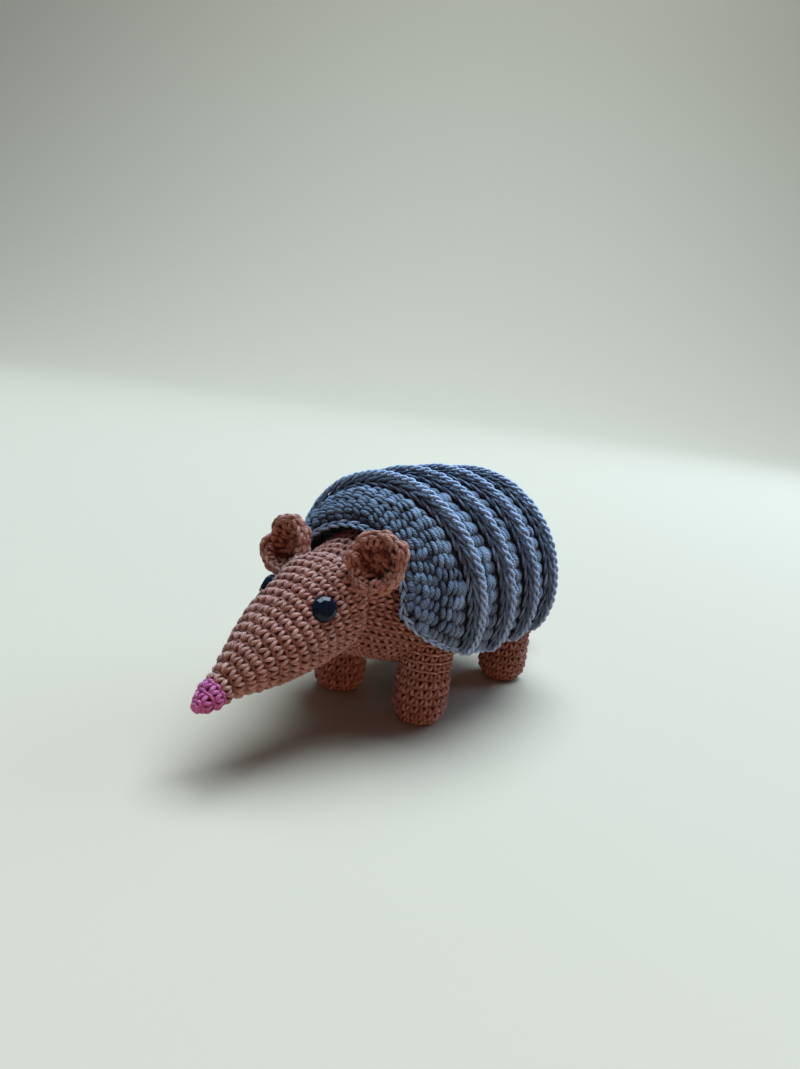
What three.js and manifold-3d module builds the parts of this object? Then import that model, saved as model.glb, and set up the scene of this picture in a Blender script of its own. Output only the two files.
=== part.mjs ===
// A crocheted, stuffed toy armadillo, standing on its four feet.
//
// Millimetres, +Z up, the floor at z = 0, the nose towards -Y and the toy's left side towards +X.
// Every outline is the outside of the finished crochet: a round snout, a stuffed trunk turned about
// a level axis, and a shell of four raised ridges that arches over the trunk from neck to rump.
import * as THREE from 'three';
import { mergeVertices } from 'three/addons/utils/BufferGeometryUtils.js';
import Module from 'manifold-3d';

const wasm = await Module();
wasm.setup();

// ---------------------------------------------------------------- driving dimensions

const DEGREE = Math.PI / 180;
const GAP = 0.3; // clearance left where one piece is sewn against another

const AXIS_HEIGHT = 37.8; // level axis of trunk and shell above the floor

const SHELL_RADIUS = 32.4; // outside of the plain bands amidships
const SHELL_THICKNESS = 2.4;
const SHELL_POWER = 3.2; // how square the dome is, seen from above
const SHELL_LEAN = 0.13; // forward lean of the arches, per millimetre of height
const LEAN_CENTRE = -12;
const LEAN_REACH = 40;
const FRONT_LEAN = 0.14; // the front edge leans back by this much more
const FRONT_LEAN_START = -28;
const FRONT_LEAN_REACH = 18;
const HEM_HEIGHT = 22.6; // lower edge of the shell above the floor
const HEM_POWER = 1.66; // how round its corners are
const FRONT_HALF = {
  end: 46, // the edge, forward of midships
  closing: 49.8, // where the dome would close on the axis
  cornerStart: 9.2, // where the hem begins to sweep up
  hemRise: 18, // how far it sweeps up
};
const REAR_HALF = { end: 43.1, closing: 48.5, cornerStart: 19, hemRise: 10.6 };

const RIDGE_COUNT = 4;
const RIDGE_PITCH = 15.5;
const RIDGE_HEIGHT = 3; // stands this far out of the bands
const RIDGE_FRONT = 4.2; // crest to the front foot of a ridge
const RIDGE_REAR = 2.4; // crest to its rear foot
const RIDGE_LIFT = 0.8; // a ridge ends this far above the hem, and its crest level with it
const RIDGE_SHOULDERS = { front: 0.55, frontHeight: 0.85, rear: 0.7, rearHeight: 0.8, foot: 0.4 };
const ARCH_STEPS = 26; // facets round each arch

const TRUNK_RADIUS = 26.6;
const TRUNK_FRONT = -56; // hidden inside the head
const TRUNK_WAIST = 0; // where the trunk reaches its full radius
const TRUNK_REAR = 47.5;
const TRUNK_REAR_POWER = 2.8;
const NECK_RADIUS = 12.4;
const NECK_SWELL = 1.18; // above 1 keeps the neck slim for longer
const NECK_END = -45; // the neck is counted from here forward
const TRUNK_SEGMENTS = 32;

const HEAD_LENGTH = 58.6;
const HEAD_RADIUS = 14.6;
const HEAD_WIDEST = 42.6; // from the tip of the nose
const HEAD_TILT = 23.8 * DEGREE; // nose down
const HEAD_DOME_POWER = 2.3; // how full the back of the head is
const HEAD_BLEND = 1.2; // softens the widest round
const HEAD_BULGE = 1.3; // how far the cone swells half way along
const HEAD_CENTRE_Y = -57.12; // middle of the widest round
const HEAD_CENTRE_Z = 36.3;
const SNOUT_RADIUS = 4.3; // where the rounded tip meets the cone
const SNOUT_TIP = 9.5;
const NOSE_LENGTH = 8.6; // the pink rounds
const HEAD_SEGMENTS = 28;
const NOSE_SEGMENTS = 20;

const EYE_RADIUS = 3.45;
const EYE_HEIGHT = 2;
const EYE_STEM = 1.2; // depth of the bead behind its seat
const EYE_FACETS = 10;
const EYES = { // the eyes aren't set quite alike; angle is above the side of the head
  left: { fromNose: 37.4, angle: 35.5 * DEGREE, sink: 0.9 },
  right: { fromNose: 38.9, angle: 33 * DEGREE, sink: 1 },
};

const EAR_RADIUS = 8.7;
const EAR_RIM = 4; // thickness of the rolled rim
const EAR_CUP = 3.6; // depth of the hollow
const EAR_HOLLOW = 0.42; // the bottom of the hollow, as a share of the radius
const EAR_BACK = 0.55; // the flat of the back, likewise
const EAR_RIM_ARC = [-1.1, 2.5]; // the rolled rim goes round from this angle to that one
const EAR_SEGMENTS = 24;
const EAR_Y = -52.3;
const EAR_LIFT = 14 * DEGREE; // faces upwards by this much
const EARS = { // the sewn-on ears aren't quite alike; turn is how far one faces outwards
  left: { x: 15.7, z: 52.6, turn: 13 * DEGREE },
  right: { x: -14.7, z: 49.9, turn: 3 * DEGREE },
};

const LEG_RADIUS = 8.2;
const LEG_X = 15.4;
const FRONT_LEG_Y = -21.2;
const REAR_LEG_Y = 32;
const LEG_TOP = 28.5;
const LEG_SHOULDER = 5; // rounding of the leg's top, where it goes under the shell
const SHOULDER_STEPS = [0, 0.6, 1];
const FOOT_RADIUS = 3.8; // the flat under each foot
const FOOT_ROUNDING = 6.2; // height of its rounded edge
const FOOT_STEPS = [0.35, 0.7, 1]; // facets up that edge
const LEG_SEGMENTS = 22;

const TAIL_ROOT = [40, 37]; // y, z
const TAIL_MIDDLE = [60, 33.5];
const TAIL_TIP = [79, 18.5];
const TAIL_ROOT_RADIUS = 6.4;
const TAIL_TIP_RADIUS = 2.4;
const TAIL_TIP_ROUNDING = 0.72; // share of that radius left at the very end
const TAIL_SIDES = 18;
const TAIL_STEPS = 9;

// ---------------------------------------------------------------- finishes

const finish = (color, roughness) => new THREE.MeshStandardMaterial({ color, roughness, metalness: 0 });
const BROWN_COTTON = finish(0x9a6048, 0.85);
const PINK_COTTON = finish(0xb4508c, 0.85);
const SLATE_COTTON = finish(0x66788f, 0.85);
const BLACK_PLASTIC = finish(0x07080a, 0.12);

// ---------------------------------------------------------------- solids from rings and grids

/** Closed solid from rows of rings: neighbouring rings are joined, and the end rings are filled. */
function ringSolid(rings) {
  const count = rings[0].length;
  const positions = rings.flat().flatMap((point) => [point.x, point.y, point.z]);
  const index = [];
  for (let i = 0; i + 1 < rings.length; i += 1) {
    for (let j = 0; j < count; j += 1) {
      const a = i * count + j;
      const b = i * count + (j + 1) % count;
      index.push(a, b, b + count, a, b + count, a + count);
    }
  }
  const last = (rings.length - 1) * count;
  for (let j = 1; j + 1 < count; j += 1) {
    index.push(0, j + 1, j);
    index.push(last, last + j, last + j + 1);
  }
  return cleaned(positions, index);
}

/** Closed plate between two grids of points that share their edges' directions. */
function plateSolid(rows, columns, outerPoint, innerPoint) {
  const positions = [];
  for (const point of [outerPoint, innerPoint]) {
    for (let i = 0; i <= rows; i += 1) {
      for (let j = 0; j <= columns; j += 1) {
        positions.push(...point(i / rows, j / columns).toArray());
      }
    }
  }
  const width = columns + 1;
  const layer = (rows + 1) * width;
  const at = (i, j, inner) => i * width + j + (inner ? layer : 0);
  const index = [];
  const quad = (a, b, c, d) => index.push(a, b, c, a, c, d);
  for (let i = 0; i < rows; i += 1) {
    for (let j = 0; j < columns; j += 1) {
      quad(at(i, j), at(i, j + 1), at(i + 1, j + 1), at(i + 1, j));
      quad(at(i, j, 1), at(i + 1, j, 1), at(i + 1, j + 1, 1), at(i, j + 1, 1));
    }
  }
  for (let i = 0; i < rows; i += 1) {
    quad(at(i, 0), at(i + 1, 0), at(i + 1, 0, 1), at(i, 0, 1));
    quad(at(i + 1, columns), at(i, columns), at(i, columns, 1), at(i + 1, columns, 1));
  }
  for (let j = 0; j < columns; j += 1) {
    quad(at(0, j + 1), at(0, j), at(0, j, 1), at(0, j + 1, 1));
    quad(at(rows, j), at(rows, j + 1), at(rows, j + 1, 1), at(rows, j, 1));
  }
  return cleaned(positions, index);
}

/** Geometry with doubles merged, collapsed triangles dropped and its faces turned outwards. */
function cleaned(positions, index) {
  const raw = new THREE.BufferGeometry();
  raw.setAttribute('position', new THREE.Float32BufferAttribute(positions, 3));
  raw.setIndex(index);
  const merged = mergeVertices(raw, 1e-4);
  const corners = merged.index.array;
  const kept = [];
  for (let i = 0; i < corners.length; i += 3) {
    const [a, b, c] = [corners[i], corners[i + 1], corners[i + 2]];
    if (a !== b && b !== c && c !== a) kept.push(a, b, c);
  }
  merged.setIndex(kept);
  if (volumeOf(merged) < 0) {
    for (let i = 0; i < kept.length; i += 3) [kept[i], kept[i + 1]] = [kept[i + 1], kept[i]];
    merged.setIndex(kept);
  }
  return merged;
}

/** Signed volume of a closed geometry. */
function volumeOf(geometry) {
  const position = geometry.attributes.position;
  const corners = geometry.index.array;
  const [a, b, c] = [new THREE.Vector3(), new THREE.Vector3(), new THREE.Vector3()];
  let sum = 0;
  for (let i = 0; i < corners.length; i += 3) {
    a.fromBufferAttribute(position, corners[i]);
    b.fromBufferAttribute(position, corners[i + 1]);
    c.fromBufferAttribute(position, corners[i + 2]);
    sum += a.dot(b.cross(c)) / 6;
  }
  return sum;
}

/** Solid turned about +Z from [radius, height] points that start and end on the axis. */
function turned(profile, segments) {
  const points = profile.map(([radius, height]) => new THREE.Vector2(radius, height));
  const lathe = new THREE.LatheGeometry(points, segments).rotateX(Math.PI / 2);
  return cleaned(Array.from(lathe.attributes.position.array), Array.from(lathe.index.array));
}

function toManifold(geometry) {
  return new wasm.Manifold(new wasm.Mesh({
    numProp: 3,
    vertProperties: new Float32Array(geometry.attributes.position.array),
    triVerts: new Uint32Array(geometry.index.array),
  }));
}

function toGeometry(solid) {
  const { numProp, vertProperties, triVerts } = solid.getMesh();
  const geometry = new THREE.BufferGeometry();
  const positions = [];
  for (let i = 0; i < vertProperties.length; i += numProp) {
    positions.push(vertProperties[i], vertProperties[i + 1], vertProperties[i + 2]);
  }
  geometry.setAttribute('position', new THREE.Float32BufferAttribute(positions, 3));
  geometry.setIndex(Array.from(triVerts));
  return geometry;
}

/** The geometry with each of the cutters taken away. */
function cut(geometry, cutters) {
  let solid = toManifold(geometry);
  for (const cutter of cutters) solid = solid.subtract(toManifold(cutter));
  return toGeometry(solid);
}

function piece(name, geometry, material) {
  const mesh = new THREE.Mesh(geometry, material);
  mesh.name = name;
  return mesh;
}

const lerp = THREE.MathUtils.lerp;

/** n + 1 numbers from 0 to 1, closer together at both ends. */
function easedSteps(n) {
  return Array.from({ length: n + 1 }, (_, i) => (1 - Math.cos(Math.PI * i / n)) / 2);
}

// ---------------------------------------------------------------- head

/** Radius of the head at a distance from the tip: rounded tip, swelling cone, domed back. */
function headRadius(fromTip) {
  if (fromTip < SNOUT_TIP) return SNOUT_RADIUS * Math.sqrt(1 - (1 - fromTip / SNOUT_TIP) ** 2);
  const slope = (HEAD_RADIUS - SNOUT_RADIUS) / (HEAD_WIDEST - SNOUT_TIP);
  const along = Math.min(1, (fromTip - SNOUT_TIP) / (HEAD_WIDEST - SNOUT_TIP));
  const cone = SNOUT_RADIUS + slope * (fromTip - SNOUT_TIP) + HEAD_BULGE * Math.sin(Math.PI * along);
  const back = Math.max(0, (fromTip - HEAD_WIDEST) / (HEAD_LENGTH - HEAD_WIDEST));
  const dome = HEAD_RADIUS * Math.max(0, 1 - back ** HEAD_DOME_POWER) ** (1 / HEAD_DOME_POWER);
  const nearer = Math.exp(-cone / HEAD_BLEND) + Math.exp(-dome / HEAD_BLEND);
  return Math.min(-HEAD_BLEND * Math.log(nearer), dome);
}

/** Head solid between two distances from the tip, in the head's own frame: +Z towards the nose. */
function headSolid(from, to, growth, segments = HEAD_SEGMENTS, steps = 15) {
  const profile = [];
  const span = to - from;
  for (const t of easedSteps(steps)) {
    const s = from + span * t;
    const radius = headRadius(s);
    const whole = s <= 0.001 || s >= HEAD_LENGTH - 0.001;
    profile.push([whole ? 0 : radius + growth, HEAD_WIDEST - s]);
  }
  if (from <= 0) profile[0] = [0, HEAD_WIDEST + growth];
  else profile.unshift([0, HEAD_WIDEST - from]);
  if (to >= HEAD_LENGTH) profile[profile.length - 1] = [0, HEAD_WIDEST - HEAD_LENGTH - growth];
  else profile.push([0, HEAD_WIDEST - to]);
  return turned(profile.reverse(), segments);
}

/** Matrix that stands a solid turned about +Z on the side of the head, pointing outwards. */
function eyePlace(side) {
  const slope = Math.atan((HEAD_RADIUS - SNOUT_RADIUS) / (HEAD_WIDEST - SNOUT_TIP));
  const { fromNose, angle, sink } = EYES[side];
  const across = side === 'left' ? Math.cos(angle) : -Math.cos(angle);
  const outward = new THREE.Vector3(across, Math.sin(angle), 0);
  const axis = outward.clone().multiplyScalar(Math.cos(slope)).setZ(Math.sin(slope));
  const seat = outward.multiplyScalar(headRadius(fromNose) - sink);
  seat.z = HEAD_WIDEST - fromNose;
  const turn = new THREE.Quaternion().setFromUnitVectors(new THREE.Vector3(0, 0, 1), axis);
  return new THREE.Matrix4().compose(seat, turn, new THREE.Vector3(1, 1, 1));
}

/** Faceted plastic eye: a flat table inside a ring of bevels, on a short stem disc. */
function eyeSolid(growth) {
  const radius = EYE_RADIUS + growth;
  const top = EYE_HEIGHT + growth;
  const bottom = -EYE_STEM - growth;
  return turned([
    [0, bottom],
    [radius * 0.8, bottom],
    [radius * 0.98, -EYE_STEM / 6],
    [radius, EYE_HEIGHT / 4],
    [radius * 0.92, EYE_HEIGHT * 0.55],
    [radius * 0.62, top],
    [0, top],
  ], EYE_FACETS);
}

/** Cupped ear: a round disc with a rolled rim and a hollow front, facing +Z. */
function earSolid() {
  const roll = EAR_RIM / 2;
  const rim = EAR_RADIUS - roll;
  const profile = [[0, -roll - EAR_CUP / 2], [EAR_RADIUS * EAR_BACK, -roll - EAR_CUP * 0.3]];
  for (let k = 0; k <= 6; k += 1) {
    const angle = lerp(...EAR_RIM_ARC, k / 6);
    profile.push([rim + roll * Math.cos(angle), roll * Math.sin(angle) + EAR_CUP / 4]);
  }
  profile.push([EAR_RADIUS * EAR_HOLLOW, roll - EAR_CUP * 0.9], [0, roll - EAR_CUP]);
  return turned(profile, EAR_SEGMENTS);
}

/** Matrix that sets an ear on its side of the head, facing forwards, outwards and up. */
function earPlace({ x, z, turn }) {
  const facing = new THREE.Vector3(
    Math.sign(x) * Math.sin(turn) * Math.cos(EAR_LIFT),
    -Math.cos(turn) * Math.cos(EAR_LIFT),
    Math.sin(EAR_LIFT),
  );
  const rotation = new THREE.Quaternion().setFromUnitVectors(new THREE.Vector3(0, 0, 1), facing);
  return new THREE.Matrix4().compose(new THREE.Vector3(x, EAR_Y, z), rotation, new THREE.Vector3(1, 1, 1));
}

// ---------------------------------------------------------------- trunk and neck

/** Radius of the trunk at y: it swells from the neck to the waist and rounds off at the rump. */
function trunkRadius(y) {
  if (y < TRUNK_WAIST) {
    const along = Math.max(0, (y - TRUNK_FRONT) / (TRUNK_WAIST - TRUNK_FRONT));
    return lerp(NECK_RADIUS, TRUNK_RADIUS, Math.sin(Math.PI / 2 * along) ** NECK_SWELL);
  }
  const along = Math.min(1, (y - TRUNK_WAIST) / (TRUNK_REAR - TRUNK_WAIST));
  return TRUNK_RADIUS * (1 - along ** TRUNK_REAR_POWER) ** (1 / TRUNK_REAR_POWER);
}

/** Trunk solid between two stations on the level axis, grown outwards by an allowance. */
function trunkSolid(from, to, growth, steps = 14) {
  const closing = to >= TRUNK_REAR;
  const profile = [[0, from]];
  for (let k = 0; k <= steps; k += 1) {
    const t = closing ? Math.sin(Math.PI / 2 * k / steps) : k / steps;
    const y = lerp(from, to, t);
    profile.push([trunkRadius(y) + growth, y]);
  }
  if (closing) profile[profile.length - 1] = [0, to + growth];
  else profile.push([0, to]);
  return turned(profile, TRUNK_SEGMENTS).rotateX(-Math.PI / 2).translate(0, 0, AXIS_HEIGHT);
}

// ---------------------------------------------------------------- shell

const halfAt = (y) => (y < 0 ? FRONT_HALF : REAR_HALF);

/** Outer radius of the plain shell at a station fore or aft of midships. */
function shellRadius(y) {
  return SHELL_RADIUS * (1 - Math.abs(y / halfAt(y).closing) ** SHELL_POWER) ** (1 / SHELL_POWER);
}

/** Height of the lower edge at a station: level, then swept up round each corner. */
function hemHeight(y) {
  const { end, cornerStart, hemRise } = halfAt(y);
  const along = Math.max(0, (Math.abs(y) - cornerStart) / (end - cornerStart));
  return HEM_HEIGHT + hemRise * (1 - Math.max(0, 1 - along ** HEM_POWER) ** (1 / HEM_POWER));
}

/** Lean of the arch at a station: forwards over the back, and backwards at the front edge. */
function archLean(y) {
  const front = Math.max(0, (FRONT_LEAN_START - y) / FRONT_LEAN_REACH);
  return FRONT_LEAN * front ** 2 - SHELL_LEAN * (1 - ((y - LEAN_CENTRE) / LEAN_REACH) ** 2);
}

/** Point of the shell: station y, place round the arch 0 to 1, height out of the plain surface. */
function shellPoint(y, around, out, lift = 0) {
  const radius = shellRadius(y);
  const low = Math.asin(Math.max(-1, (hemHeight(y) + lift - AXIS_HEIGHT) / radius));
  const angle = lerp(low, Math.PI - low, around);
  const rise = (radius + out) * Math.sin(angle);
  return new THREE.Vector3((radius + out) * Math.cos(angle), y + archLean(y) * rise, AXIS_HEIGHT + rise);
}

/** Plain stretch of the shell between two stations; pace spaces its rows. */
function shellPanel(from, to, rows, pace = (along) => along) {
  const surface = (out) => (along, around) => shellPoint(lerp(from, to, pace(along)), around, out);
  return plateSolid(rows, ARCH_STEPS, surface(0), surface(-SHELL_THICKNESS));
}

/** Raised ridge: a rounded section carried along the arch at one station. */
function shellRidge(crest) {
  const { front, frontHeight, rear, rearHeight, foot } = RIDGE_SHOULDERS;
  const section = [
    [-RIDGE_FRONT, -SHELL_THICKNESS],
    [-RIDGE_FRONT, foot],
    [-RIDGE_FRONT * front, RIDGE_HEIGHT * frontHeight],
    [0, RIDGE_HEIGHT],
    [RIDGE_REAR * rear, RIDGE_HEIGHT * rearHeight],
    [RIDGE_REAR, foot],
    [RIDGE_REAR, -SHELL_THICKNESS],
  ];
  const rings = [];
  for (let i = 0; i <= ARCH_STEPS; i += 1) {
    rings.push(section.map(([y, out]) => shellPoint(crest + y, i / ARCH_STEPS, out, RIDGE_LIFT)));
  }
  return ringSolid(rings);
}

const ridgeCrest = (k) => (k - (RIDGE_COUNT - 1) / 2) * RIDGE_PITCH;

function shellPieces() {
  const pieces = [];
  for (let k = 0; k < RIDGE_COUNT; k += 1) {
    pieces.push(piece(`shell_ridge_${k + 1}`, shellRidge(ridgeCrest(k)), SLATE_COTTON));
  }
  for (let k = 0; k + 1 < RIDGE_COUNT; k += 1) {
    const from = ridgeCrest(k) + RIDGE_REAR + GAP;
    const to = ridgeCrest(k + 1) - RIDGE_FRONT - GAP;
    pieces.push(piece(`shell_band_${k + 1}`, shellPanel(from, to, 2), SLATE_COTTON));
  }
  const closerAtStart = (along) => 1 - Math.cos(Math.PI / 2 * along);
  const closerAtEnd = (along) => Math.sin(Math.PI / 2 * along);
  const front = shellPanel(-FRONT_HALF.end, ridgeCrest(0) - RIDGE_FRONT - GAP, 7, closerAtStart);
  const rear = shellPanel(ridgeCrest(RIDGE_COUNT - 1) + RIDGE_REAR + GAP, REAR_HALF.end, 6, closerAtEnd);
  pieces.push(piece('shell_front', front, SLATE_COTTON));
  pieces.push(piece('shell_rear', rear, SLATE_COTTON));
  return pieces;
}

// ---------------------------------------------------------------- legs and tail

/** Stubby leg with a small flat under its rounded foot. */
function legSolid() {
  const profile = [[0, 0], [FOOT_RADIUS, 0]];
  for (const t of FOOT_STEPS) {
    const angle = Math.PI / 2 * t;
    profile.push([
      FOOT_RADIUS + (LEG_RADIUS - FOOT_RADIUS) * Math.sin(angle),
      FOOT_ROUNDING * (1 - Math.cos(angle)),
    ]);
  }
  for (const t of SHOULDER_STEPS) {
    const angle = Math.PI / 2 * t;
    profile.push([
      LEG_RADIUS - LEG_SHOULDER * (1 - Math.cos(angle)),
      LEG_TOP - LEG_SHOULDER * (1 - Math.sin(angle)),
    ]);
  }
  profile.push([0, LEG_TOP]);
  return turned(profile, LEG_SEGMENTS);
}

/** Tapering tail: round sections carried along a curve that droops to the rear. */
function tailSolid() {
  const route = new THREE.QuadraticBezierCurve3(
    new THREE.Vector3(0, ...TAIL_ROOT),
    new THREE.Vector3(0, ...TAIL_MIDDLE),
    new THREE.Vector3(0, ...TAIL_TIP),
  );
  const rings = [];
  for (let i = 0; i <= TAIL_STEPS; i += 1) {
    const t = i / TAIL_STEPS;
    const centre = route.getPoint(t);
    const along = route.getTangent(t);
    const up = new THREE.Vector3(1, 0, 0).cross(along);
    const rounding = i === TAIL_STEPS ? TAIL_TIP_ROUNDING : 1;
    const radius = lerp(TAIL_ROOT_RADIUS, TAIL_TIP_RADIUS, t) * rounding;
    const ring = [];
    for (let j = 0; j < TAIL_SIDES; j += 1) {
      const angle = 2 * Math.PI * j / TAIL_SIDES;
      ring.push(centre.clone()
        .addScaledVector(new THREE.Vector3(1, 0, 0), radius * Math.cos(angle))
        .addScaledVector(up, radius * Math.sin(angle)));
    }
    rings.push(ring);
  }
  return ringSolid(rings);
}

// ---------------------------------------------------------------- the toy

const headFrame = new THREE.Group();
headFrame.position.set(0, HEAD_CENTRE_Y, HEAD_CENTRE_Z);
headFrame.rotation.x = Math.PI / 2 + HEAD_TILT;
headFrame.updateMatrix();

const SEAM = GAP / 2;
const eyePockets = ['left', 'right'].map((side) => eyeSolid(GAP).applyMatrix4(eyePlace(side)));
headFrame.add(piece('nose', headSolid(0, NOSE_LENGTH - SEAM, 0, NOSE_SEGMENTS, 5), PINK_COTTON));
headFrame.add(piece('head', cut(headSolid(NOSE_LENGTH + SEAM, HEAD_LENGTH, 0), eyePockets), BROWN_COTTON));
for (const side of ['left', 'right']) {
  headFrame.add(piece(`eye_${side}`, eyeSolid(0).applyMatrix4(eyePlace(side)), BLACK_PLASTIC));
}

const headCutter = headSolid(0, HEAD_LENGTH, GAP, HEAD_SEGMENTS, 18).applyMatrix4(headFrame.matrix);
const trunkCutter = trunkSolid(TRUNK_FRONT, TRUNK_REAR, GAP);

const toy = new THREE.Group();
toy.add(headFrame);
const neck = trunkSolid(TRUNK_FRONT, NECK_END - SEAM, 0, 4);
const trunk = trunkSolid(NECK_END + SEAM, TRUNK_REAR, 0);
toy.add(piece('neck', cut(neck, [headCutter]), BROWN_COTTON));
toy.add(piece('trunk', cut(trunk, [headCutter]), BROWN_COTTON));
for (const side of ['left', 'right']) {
  const ear = earSolid().applyMatrix4(earPlace(EARS[side]));
  toy.add(piece(`ear_${side}`, cut(ear, [headCutter, trunkCutter]), BROWN_COTTON));
}
toy.add(...shellPieces());
for (const [place, y] of [['front', FRONT_LEG_Y], ['rear', REAR_LEG_Y]]) {
  for (const [name, side] of [['left', 1], ['right', -1]]) {
    const leg = legSolid().translate(side * LEG_X, y, 0);
    toy.add(piece(`leg_${place}_${name}`, cut(leg, [trunkCutter]), BROWN_COTTON));
  }
}
toy.add(piece('tail', cut(tailSolid(), [trunkCutter]), BROWN_COTTON));

// The origin is under the middle of the toy, halfway between nose and tail.
toy.updateMatrixWorld(true);
const box = new THREE.Box3().setFromObject(toy, true);
toy.position.y = -(box.min.y + box.max.y) / 2;

export default toy;
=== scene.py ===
import math

import bpy
import numpy as np
from mathutils import Matrix, Vector


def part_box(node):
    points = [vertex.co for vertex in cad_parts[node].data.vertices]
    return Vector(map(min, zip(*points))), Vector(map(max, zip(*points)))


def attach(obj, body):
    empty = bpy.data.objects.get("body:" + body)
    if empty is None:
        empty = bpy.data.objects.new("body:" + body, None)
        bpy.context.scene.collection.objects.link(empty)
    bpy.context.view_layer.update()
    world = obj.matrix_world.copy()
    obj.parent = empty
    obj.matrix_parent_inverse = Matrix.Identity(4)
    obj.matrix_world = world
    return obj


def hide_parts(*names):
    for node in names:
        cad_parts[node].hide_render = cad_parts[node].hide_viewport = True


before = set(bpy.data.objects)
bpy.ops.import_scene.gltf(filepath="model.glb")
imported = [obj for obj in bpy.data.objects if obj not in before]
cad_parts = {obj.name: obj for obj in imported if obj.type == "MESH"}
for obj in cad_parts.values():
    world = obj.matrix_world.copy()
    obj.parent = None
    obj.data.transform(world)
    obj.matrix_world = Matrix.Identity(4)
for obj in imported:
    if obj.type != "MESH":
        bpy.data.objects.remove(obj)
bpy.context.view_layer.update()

# A crocheted, stuffed toy armadillo. Every stitch is made of thick strands of yarn that lie on a
# darker lining, so the gaps between stitches are real; the lining's dark colour is painted shade,
# as are the darker parts of strands that sink below the work's face. Shapes are worked out in
# millimetres in the toy's own frame (nose towards -Y, its left side towards +X, floor at z = 0)
# and moved to the row frame when a mesh is made.

MM = 0.001
TURN = 2 * np.pi

# ---- sizes of the toy, in millimetres

FRONT_LEG_Y = -21.2
LEG_BOX = np.array(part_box("leg_front_left")) / MM
SHIFT = np.array([0, LEG_BOX[:, 1].mean() - FRONT_LEG_Y, 0])  # from the toy's frame to the row's

AXIS_HEIGHT = 37.8  # level axis of trunk and shell

SHELL_RADIUS = 32.4
SHELL_POWER = 3.2  # of the squarish dome that its radius follows from front to rear
SHELL_LEAN = 0.13
LEAN_CENTRE = -12
LEAN_REACH = 40
FRONT_LEAN = 0.14
FRONT_LEAN_START = -28
FRONT_LEAN_REACH = 18
HEM_HEIGHT = 22.6
HEM_POWER = 1.66
SHELL_FRONT, SHELL_REAR = -46, 43.1
FRONT_CLOSING, REAR_CLOSING = 49.8, 48.5  # where the dome would close
FRONT_CORNER, REAR_CORNER = 9.2, 19  # where the hem starts to rise
FRONT_HEM_RISE, REAR_HEM_RISE = 18, 10.6
HEM_FOLD = 0.006  # strands nearer to a hem than this share of the arch are folded in
HEM_LOWERING, HEM_REACH = 0.75, 0.035  # the rows sink by this share, over this share of the arch
EDGE_INSET = 0.5  # lining and edging stop this short of the shell's ends
LINING_DEPTH = (-1.6, -2.4)  # outside and inside of the shell's lining
ARCH_LENGTH = 132  # hem to hem over the top
SHELL_STITCHES = 31  # round one arch, hem to hem
END_STITCHES = (26, 28)  # in the rows along the shell's front and rear edge, and in the next ones
EDGE_LINK = 3.5
RIDGE_COUNT = 4
RIDGE_PITCH = 15.5
RIDGE_FRONT = 4.2
RIDGE_REAR = 2.4

TRUNK_RADIUS = 26.6
TRUNK_FRONT = -56
TRUNK_REAR = 47.5
TRUNK_REAR_POWER = 2.8
NECK_RADIUS = 12.4
NECK_SWELL = 1.18
NECK_ROUNDS = 7
COVERED_REACH = 37  # the trunk's stitches are left out under the shell, this far from the middle
COVERED_ABOVE_HEM = 4
HIDDEN_DEPTH = 3  # stitches deeper than this inside another piece are left out

HEAD_LENGTH = 58.6
HEAD_RADIUS = 14.6
HEAD_WIDEST = 42.6
HEAD_DOME_POWER = 2.3
HEAD_BLEND = 1.2
HEAD_BULGE = 1.3
HEAD_TILT = math.radians(23.8)
HEAD_CENTRE = np.array([0, -57.12, 36.3])
SNOUT_RADIUS = 4.3
SNOUT_TIP = 9.5
HEAD_SLOPE = (HEAD_RADIUS - SNOUT_RADIUS) / (HEAD_WIDEST - SNOUT_TIP)
NOSE_ROUNDS = 3

EYE_RADIUS = 3.45
EYE_HEIGHT = 2.0
EYE_STEM = 1.2
EYE_FACETS = 10
EYE_PRESS, EYE_PRESS_REACH = 1.1, 4.4  # how the stitches give way round an eye
EYE_FROM_NOSE = {1: 37.4, -1: 38.9}
EYE_ANGLE = {1: math.radians(35.5), -1: math.radians(33)}
EYE_SINK = {1: 0.9, -1: 1.0}

EAR_RADIUS = 8.7
EAR_RIM = 4
EAR_CUP = 3.6
EAR_CENTRE = {1: np.array([15.7, -52.3, 52.6]), -1: np.array([-14.7, -52.3, 49.9])}
EAR_TURN = {1: math.radians(13), -1: math.radians(3)}
EAR_LIFT = math.radians(14)
EAR_RIM_CHAINS = ((9.9, 17), (12.3, 18))  # place along the profile, links
EAR_ROUNDS = 3
EAR_ROUND = 2.85
EAR_BACK_START = 13.2  # along the profile
EAR_WAVES, EAR_WAVE_HEIGHT = (2, 3, 5, 7), 0.25  # unevenness: waves to the turn, and how high

LEG_RADIUS = 8.2
LEG_X = 15.4
REAR_LEG_Y = 32
LEG_TOP = 28.5
LEG_SHOULDER = 5
SOLE_HEIGHT = 0.02
LOWER_LEG_ROUNDS = 8
FOOT_RADIUS = 3.8
FOOT_ROUNDING = 6.2

TAIL_ROUTE = np.array([[0, 40, 37], [0, 60, 33.5], [0, 79, 18.5]])
TAIL_ROOT_RADIUS = 6.4
TAIL_TIP_RADIUS = 2.4

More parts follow.
